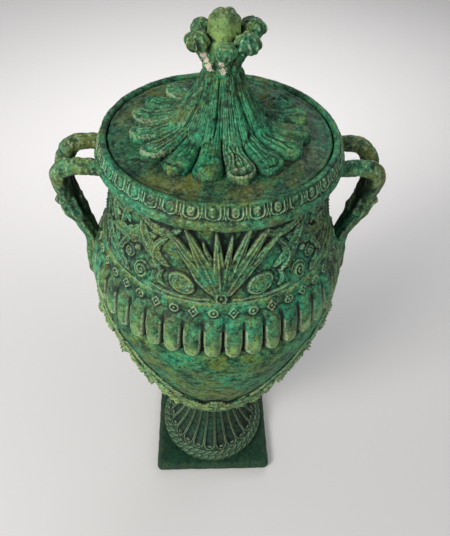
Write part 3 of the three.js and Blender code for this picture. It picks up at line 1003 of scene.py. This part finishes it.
def makeNeck(size):
    outer = np.vstack([[(143.6, 569)], [(144.6, 571.4)], curvePoints(size["curve"], size["step"]),
                       [(121.5, 670.5)]])
    inner = np.array([(103, 670.5), (101.5, 640), (105, 612), (116, 588), (124, 570)])
    piece = turned("neck", outer, inner, size["columns"])
    surface = readSurface(piece, outer)
    height = np.zeros(len(surface["angle"]))
    rise = size["rise"]

    def onSide(points):
        return [(face + side * angle, level) for angle, level in points]

    for face in (0, 180):
        for tip, top, wide, tall in frieze["blades"]:
            spine = [(face + 0.1 * tip, 582), (face + 0.4 * tip, 609), (face + tip, top)]
            stampLeaf(surface, height, spine, wide, rise * tall, rib=60, tip=0.75, edge=0.22, lean=0,
                      lineWidth=0.2)
        stampDisc(surface, height, face, 579.5, rosette(7.5, 4.2, petals=8))
        for side in (-1, 1):
            for a, b, c, wide in frieze["smallLeaves"]:
                stampLeaf(surface, height, onSide((a, b, c)), wide, 0.85 * rise, rib=4.2, lobes=4,
                          lobeDepth=0.2, tip=0.5, edge=0.1, arch=2, veins=0.2)
            for a, b, c, wide, tall, lobes, tip in frieze["largeLeaves"]:
                stampLeaf(surface, height, onSide((a, b, c)), wide, rise * tall, rib=4, lobes=lobes,
                          tip=tip, edge=0.1, arch=2, veins=0.2)
            for angle, level, reach, tall, hand in frieze["volutes"]:
                stampDisc(surface, height, face + side * angle, level, volute(reach, tall, hand * side))
            stampDisc(surface, height, face + side * 18.5, 591, pod(17, 11.5, side * 24, 3.8))
            stampLeaf(surface, height, onSide(((5, 577.5), (20, 577), (34, 580))), 6, 1.8, rib=3, edge=0)
            stampLeaf(surface, height, onSide(((27, 583), (30, 590), (28, 600))), 8, 2.6, rib=3)
        for angle, level in frieze["berries"]:
            stampDisc(surface, height, face + angle, level, berry)
    ground = 0.16 * waves(surface["places"], 6, 31) + 0.4 * waves(surface["places"], 24, 32)
    height += ground - 0.9 * (1 - np.clip(height / 2.5, 0, 1))
    fade = np.clip((surface["level"] - 570) / 4, 0, 1)
    pushOut(piece, surface, height * fade)
    # painted shadow on the neck beside the handles and under the lip
    handleShadowBand = ridge(np.abs(surface["angle"]) - math.pi / 2, math.radians(24))
    paintedShade = 0.36 * handleShadowBand + 0.3 * np.clip((surface["level"] - 650) / 14, 0, 1)
    settle(piece, patinas["neck"], "vase", shade=np.where(surface["on"], paintedShade, 0))


makeNeck(neckSize)
print("neck made")


# The lip: a roll, a band of eggs in U-shaped frames with darts, and the lid's seat

lipSize = {
    "outline": [(117, 664.5), (122.5, 666.2), (130.5, 668.6), (136, 672.4), (139, 676), (139.9, 680),
                (138.6, 684), (136.4, 686.2), (136.9, 688.6), (136.2, 691), (134.4, 695.4),
                (132.6, 699.4), (131.2, 701.4), (129, 702)],
    "seat": [(126.6, 701.6), (125, 699.6), (124.6, 695), (124.6, 690.2), (116, 690), (104.6, 690),
             (104, 676), (103.6, 664.5)],
    "eggs": 40,
    "rise": 2.0,
}


def makeLip(size):
    outer = smoothPath(size["outline"], 1.0)
    piece = turned("lip", outer, np.array(size["seat"]), size["eggs"] * 18)
    surface = readSurface(piece, outer)
    pitch = 2 * math.pi / size["eggs"]
    turn = angleBetween(surface["angle"], 0) / pitch
    across = (turn - np.floor(turn) - 0.5) * pitch * 134    # 0 in the middle of an egg
    number = np.floor(turn).astype(int) % size["eggs"]
    worn = np.random.default_rng(40).uniform(0.55, 1.1, size["eggs"])[number]
    up = surface["along"] - alongAt(surface, 694.3)
    egg = np.hypot(across / 4.3, (up - 0.6) / 5.6)
    frame = np.hypot(across / (7.6 - 0.12 * np.clip(up, -8, 8)), np.where(up < 0, up / 7.8, 0.0))
    framed = (0.4 + 0.65 * worn) * ridge(frame - 0.98, 0.11) * (up < 7.4)
    gap = np.abs(np.abs(across) - 0.5 * pitch * 134)
    dart = ridge(gap - 0.32 * np.clip(-up - 1, 0, 8), 0.8) * (up < 1) + 0.8 * ridge(gap, 0.8) * (up >= -1)
    height = size["rise"] * worn * (dome(egg) - 0.14 * ridge(egg - 0.45, 0.16)) * (egg < 1)
    height = np.maximum(height, size["rise"] * framed)
    height = np.maximum(height, 0.8 * size["rise"] * worn * np.clip(dart, 0, 1))
    height = np.where((up > -8.4) & (up < 8.2), height - 1.5, 0)
    height += 0.12 * waves(surface["places"], 8, 41) + 0.15 * waves(surface["places"], 30, 42) - 0.15
    pushOut(piece, surface, height)
    settle(piece, patinas["lip"], "vase", calm=np.clip((700.4 - surface["level"]) / 1.5, 0.05, 1))


makeLip(lipSize)
print("lip made")


# The handles: a leafy branch that forks into two stems under the lip

handleSize = {
    "branch": [(169.5, 0, 462), (172.5, 0, 482), (170, 0, 503), (164, 0, 540), (169, 0, 562),
               (176, 0, 585), (181, 0, 606), (182, 0, 628), (181, 0, 642)],
    "branchGirths": [4.5, 7.5, 8.5, 10, 11.5, 13.0, 15, 13, 11, 9],
    "collar": [(173, 0, 572), (177.5, 0, 586), (181, 0, 601), (182.5, 0, 615)],
    "collarGirths": [9, 15.2, 18.2, 16.6, 17.4, 12],
    "stem": [(184, 0.3, 620), (184.5, 0.55, 640), (180, 0.78, 656), (169, 0.93, 665), (153, 1, 667.5),
             (136, 1, 666), (122, 0.97, 663)],              # the second number is a share of the spread
    "stemGirths": [9, 10.5, 11.2, 11.0, 10.4, 9.8, 9.4, 9.8],
    "spread": 25,
    "skin": 1.35,
}


def tube(name, points, girths, columns, rows, section):
    # a limb of changing girth; section gives a share of the girth by angle and place
    path = smoothPath(points, 1)
    share = np.linspace(0, 1, len(path))
    way = np.gradient(path, axis=0)
    way /= np.linalg.norm(way, axis=1)[:, None]
    girthAt = np.linspace(0, 1, len(girths))

    def place(u, v):
        spot = np.stack([np.interp(v, share, path[:, axis]) for axis in range(3)], axis=1)
        ahead = np.stack([np.interp(v, share, way[:, axis]) for axis in range(3)], axis=1)
        side = np.cross(np.array([0.0, 1.0, 0.0]), ahead)
        side /= np.linalg.norm(side, axis=1)[:, None]
        deep = np.cross(ahead, side)
        angle = 2 * math.pi * u
        closed = np.clip(np.minimum(v, 1 - v) / 0.02, 0, 1) ** 0.5
        girth = np.interp(v, girthAt, girths) * section(angle, v) * closed
        spot = spot + side * (girth * np.cos(angle))[:, None] + deep * (girth * np.sin(angle))[:, None]
        return spot[:, 0], spot[:, 1], spot[:, 2]
    return wrapped(name, columns, rows, place)


def sheath(angle, v):
    # long pleats
    pleat = 0.06 * np.cos(5 * angle + 5 * v) + 0.035 * np.cos(9 * angle - 8 * v)
    return 0.97 + pleat * np.clip(v / 0.3, 0.3, 1)


def sheathCollar(angle, v):
    # a ragged lip where the sheath opens round the stems
    return 0.9 + 0.12 * np.cos(6 * angle) * v + 0.06 * np.cos(9 * angle + 1)


def bark(angle, v):
    return 0.98 + 0.03 * np.cos(5 * angle + 9 * v) + 0.015 * np.cos(8 * angle - 5 * v)


def makeHandle(size, side):
    spread = size["spread"]
    parts = [tube("branch", size["branch"], size["branchGirths"], 56, 150, sheath)]
    parts.append(tube("sheathLip", size["collar"], size["collarGirths"], 64, 40, sheathCollar))
    for hand in (-1, 1):
        stem = [(181.5, 2 * hand, 596)] + [(x, share * hand * spread, z) for x, share, z in size["stem"]]
        parts.append(tube("stem", stem, size["stemGirths"], 40, 120, bark))
    parts.append(tube("nub", [(184, -1, 600), (193, -3, 603), (198, -4, 607)], [9, 7, 5.4], 24, 20, bark))
    parts.append(tube("bud", [(178, 4, 560), (184, 6, 566), (187, 7, 572)], [7, 5, 3], 20, 16, bark))
    piece = joinAll("rightHandle" if side > 0 else "leftHandle", parts)
    if side < 0:
        places = readPlaces(piece)
        places[:, 0] *= -1
        writePlaces(piece, places)
        finishMesh(piece, 0.000001)
    fuse(piece, size["skin"])
    places = readPlaces(piece)
    normals = readNormals(piece)
    grain = 0.2 * waves(places * np.array([1, 1, 0.25]), 6, 51) + 0.35 * waves(places, 19, 52)
    places += normals * (grain - 0.3)[:, None]
    writePlaces(piece, places)
    # painted shade on faces turned in towards the vase and on the undersides
    innerShade = np.clip(-1.3 * side * normals[:, 0] - 0.1, 0, 1) + 0.5 * np.clip(-normals[:, 2] - 0.3, 0, 1)
    golden = [((side * 168, 25, 674), 30), ((side * 184, -16, 656), 20)]
    settle(piece, patinas["handle"], "vase", warm=golden, shade=0.5 * innerShade)


makeHandle(handleSize, -1)
makeHandle(handleSize, 1)
print("handles made")


# The lid: a plate, a ring of cupped leaves that climbs to the stem, and a finial

plateSize = {
    "outline": [(124, 690.4), (124.2, 695), (123.4, 698), (121.6, 699.3), (119.4, 698.9), (117.5, 698.4),
                (113, 699.2), (104, 700.6), (88, 701.4), (74, 702)],
    "underside": [(60, 702), (60, 694), (87, 690.4), (89, 680.5), (99, 680.5), (101, 690.4), (112, 690.3)],
    "columns": 360,
    "rubbedSpots": [((-46, -104, 700), 26), ((86, -46, 700), 24), ((-96, 20, 700), 24),
                    ((20, -112, 700), 18)],
}
leafSize = {
    "outline": [(106, 700.4), (98, 700.6), (90, 701), (80, 701.6), (70, 703.2), (60, 706.6), (50, 712.5),
                (41, 721), (33, 732), (26.5, 745), (22.2, 757), (19.4, 766), (15, 773)],
    "thickness": ([20, 40, 55, 66, 78, 88, 95, 102], [0.5, 2.4, 6.3, 8.6, 10.2, 10.8, 12.0, 12.2]),
    "leaves": 16,
    "tip": 101.8,
    "leafHalf": 15.8,
    "round": 86,            # where the tips start to round off
    "fans": 8,
    "chip": ((4, -96, 712), (17, -91, 713), 3.2),
}
finialSize = {
    "heads": (              # turn in degrees, distance, size, width, ribs and level
        (3, 27.0, 10.4, 1.0, 0, 797.5), (50, 29.0, 10.6, 1.18, 9, 801.5), (112, 30.0, 11.2, 1.2, 7, 804),
        (174, 26.5, 9, 1, 0, 803), (-126, 27.0, 10.2, 1, 0, 802.5), (-66, 27.5, 10.2, 1.16, 8, 800)),
    "skin": 0.95,
    "top": 825.6,
    "chips": (((-21, -13, 796), (-13, -11, 774), 4.2), ((-3, -23, 790), (0, -17, 775), 4.0)),
    "golden": (((11, -9, 812), 9), ((0, -1, 824), 9)),
    "paleAndHighlight": (((-2, -10, 806), 16), ((10, -8, 806), 12)),
}


def makeLidPlate(size):
    outer = smoothPath(size["outline"], 1.3)
    piece = turned("lidPlate", outer, np.array(size["underside"]), size["columns"])
    surface = readSurface(piece, outer)
    height = 0.3 * waves(surface["places"], 24, 61) + 0.13 * waves(surface["places"], 7, 62) - 0.25
    pushOut(piece, surface, height * np.clip(surface["along"] / 8, 0, 1))
    calm = np.clip((113 - surface["radius"]) / 6, 0.1, 1)
    settle(piece, patinas["lid"], "lid", calm=calm, warm=size["rubbedSpots"])


def makeLidLeaves(size):
    outer = smoothPath(size["outline"], 1.1)
    inner = np.array([(8, 774), (8, 694), (106, 694)])
    piece = turned("lidLeaves", outer, inner, size["leaves"] * 36)
    surface = readSurface(piece, outer)
    radius = surface["radius"]
    wander = 0.16 * waves(surface["places"], 22, 73)

    # each leaf, from its own share of the turn
    pitch = 2 * math.pi / size["leaves"]
    turn = angleBetween(surface["angle"], 0) / pitch
    number = np.floor(turn).astype(int) % size["leaves"]
    uneven = np.random.default_rng(70).uniform(-1, 1, (4, size["leaves"]))[:, number]
    share = turn - np.floor(turn) - 0.5 + uneven[0] * (0.03 + 0.0011 * np.clip(radius - 60, 0, 50))
    share += 0.045 * np.sin((radius - 30) / 13) * np.clip((100 - radius) / 30, 0, 1)
    across = share * pitch * radius
    tip = size["tip"] - 1.6 + 1.8 * uneven[1]
    half = np.minimum(size["leafHalf"], 0.488 * pitch * radius)
    over = np.maximum(radius - size["round"], 0) / (tip - size["round"])
    reach = np.hypot(across / half, over)                   # 1 at the leaf's edge
    side = np.abs(across / half)
    spacing = 3.2 * side * (1 - 0.4 * np.clip((radius - 70) / 26, 0, 1))
    ribs = 1.0 * np.cos(2 * math.pi * (spacing + wander))
    ribs *= np.clip((radius - 34) / 12, 0, 1) * (1 - 0.4 * uneven[2])
    top = np.interp(radius, *size["thickness"])
    body = top * (1 - 0.2 * side ** 2 + 0.17 * across / half) * dome(reach, 4.2)
    body += (ribs - 1.3 * ridge(across, 1.2)) * np.clip(1.1 - reach, 0, 1)

    # its tip is hollowed, with a curled rim
    inTip = np.clip((radius - 80) / 8, 0, 1)
    hollowed = np.clip(0.7 + 0.7 * uneven[3], 0.25, 1)
    cup = -5.6 * hollowed * ridge(reach - 0.5, 0.25) + 1.6 * (1 - hollowed) * dome(reach / 0.9)
    cup = inTip * np.clip((over - 0.1) / 0.4, 0, 1) * cup
    curl = (2.3 + 0.9 * uneven[0]) * inTip * ridge(reach - 0.88, 0.07)
    curl = curl * np.clip((over - 0.1) / 0.3, 0, 1)
    height = np.where(reach < 1, body + cup + curl, -2.0 * np.clip((radius - 74) / 6, 0, 1))
    crease = 2.2 * ridge(np.abs(share) - 0.5, 0.035)
    height -= crease * np.clip((84 - radius) / 20, 0, 1) * np.clip((radius - 26) / 12, 0, 1)

    # wide fans lie over the leaves near the stem
    fanPitch = 2 * math.pi / size["fans"]
    fanTurn = angleBetween(surface["angle"], math.radians(-7)) / fanPitch
    fanShare = fanTurn - np.floor(fanTurn) - 0.5
    fanAcross = fanShare * fanPitch * np.maximum(radius, 24)
    down = (radius - 20) / 30
    fanHalf = 0.5 * fanPitch * np.minimum(radius, 43) * (0.92 - 0.1 * down)
    fanReach = np.hypot(fanAcross / np.maximum(fanHalf, 3), np.maximum(radius - 42, 0) / 15)
    fanReach *= 1 + 0.05 * np.cos(2 * math.pi * 9 * fanShare) + 0.04 * wander
    fan = 6.0 * dome(fanReach, 6) * np.clip((radius - 19) / 14, 0.25, 1)
    fan += 0.45 * np.cos(2 * math.pi * (fanShare * 13 + wander)) * np.clip(1.15 - fanReach, 0, 1)
    height = np.where(fanReach < 1, np.maximum(height, fan + 0.35 * height), height)

    # fine ribs up the stem, fibres and unevenness
    stemRibs = 0.3 * np.cos(57 * surface["angle"] + 12 * wander) * np.clip((40 - radius) / 8, 0, 1)
    strands = np.stack([60 * surface["angle"], surface["along"] / 3, radius / 9], axis=1)
    fibres = 0.4 * waves(strands, 9, 74) * np.clip((66 - radius) / 20, 0, 1)
    places = surface["places"]
    height += stemRibs + fibres + 0.16 * waves(places, 8, 71) + 0.15 * waves(places, 20, 72)
    height *= np.clip((774 - surface["level"]) / 3, 0, 1)
    lift = np.clip((radius - 46) / 24, 0, 1) * height       # the flat part of the ring rises straight up
    pushOut(piece, surface, height - lift)
    places = readPlaces(piece)
    places[:, 2] += np.where(surface["on"], lift, 0)
    places[:, 2] = np.minimum(places[:, 2], 780)
    writePlaces(piece, places)
    calm = np.where(reach > 0.93, 0.35, 1) * np.clip(0.55 + uneven[1], 0.3, 1)
    settle(piece, patinas["leaves"], "lid", calm=calm, chips=[size["chip"]])


def bumps(count, deep):
    def pattern(angle, v):
        return 1 + deep * np.cos(count * angle + 2.5 * v) * np.sin(math.pi * v)
    return pattern


def ball(name, centre, radii, pattern, square=1.0):
    def place(u, v):
        up = math.pi * (v - 0.5)
        angle = 2 * math.pi * u
        scale = pattern(angle, v)
        level = np.clip(np.cos(up), 0, 1) ** square
        x = radii[0] * level * np.cos(angle) * scale
        y = radii[1] * level * np.sin(angle) * scale
        z = radii[2] * np.sign(up) * np.abs(np.sin(up)) ** square * scale
        return centre[0] + x, centre[1] + y, centre[2] + z
    return wrapped(name, 40, 24, place)


def aroundStem(turn, reach, level):
    angle = math.radians(turn)
    return reach * math.sin(angle), -reach * math.cos(angle), level


def makeFinial(size):
    parts = [ball("bud", (0.6, 0, 807), (16.4, 16.4, 18.7), bumps(5, 0.03), square=0.72)]
    for turn, reach, girth, wide, ribs, level in size["heads"]:
        spot = aroundStem(turn, reach, level)
        pattern = bumps(ribs, 0.13) if ribs else bumps(5, 0.045)
        parts.append(ball("head", spot, (girth * wide, girth * wide, girth * 0.92), pattern))
        stalk = [aroundStem(turn, 10, 764), aroundStem(turn, 15, 783), spot]
        parts.append(tube("stalk", stalk, [8.5, 8.4, 7.6, 7.4], 20, 24, bumps(5, 0.08)))
    parts.append(tube("core", [(0, 0, 752), (0, 0.1, 780), (0, 0.2, 806)], [19.5, 17, 16, 18, 19, 13],
                      40, 36, bumps(9, 0.06)))
    piece = joinAll("finial", parts)
    fuse(piece, size["skin"])
    places = readPlaces(piece)
    normals = readNormals(piece)
    outside = np.hypot(places[:, 0], places[:, 1]) > 19
    rough = np.where(outside, 0.8, np.clip((802 - places[:, 2]) / 16, 0.3, 1))
    grain = 0.3 * rough * waves(places * np.array([1, 1, 0.4]), 4.5, 81) + 0.3 * waves(places, 11, 82)
    places += normals * (grain - 0.3)[:, None]
    dent = ridge(np.hypot(places[:, 0] - 1, places[:, 1] + 1), 7.5) * (places[:, 2] > 818)
    places[:, 2] -= dent * (1.6 + 0.9 * waves(places, 6, 83))
    places[:, 2] = np.minimum(places[:, 2], size["top"])
    writePlaces(piece, places)
    settle(piece, patinas["finial"], "lid", chips=size["chips"], warm=size["golden"], paleAndHighlight=size["paleAndHighlight"])


makeLidPlate(plateSize)
makeLidLeaves(leafSize)
makeFinial(finialSize)
print("lid made")

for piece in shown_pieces():
    print(piece.name, len(piece.data.polygons), "faces")
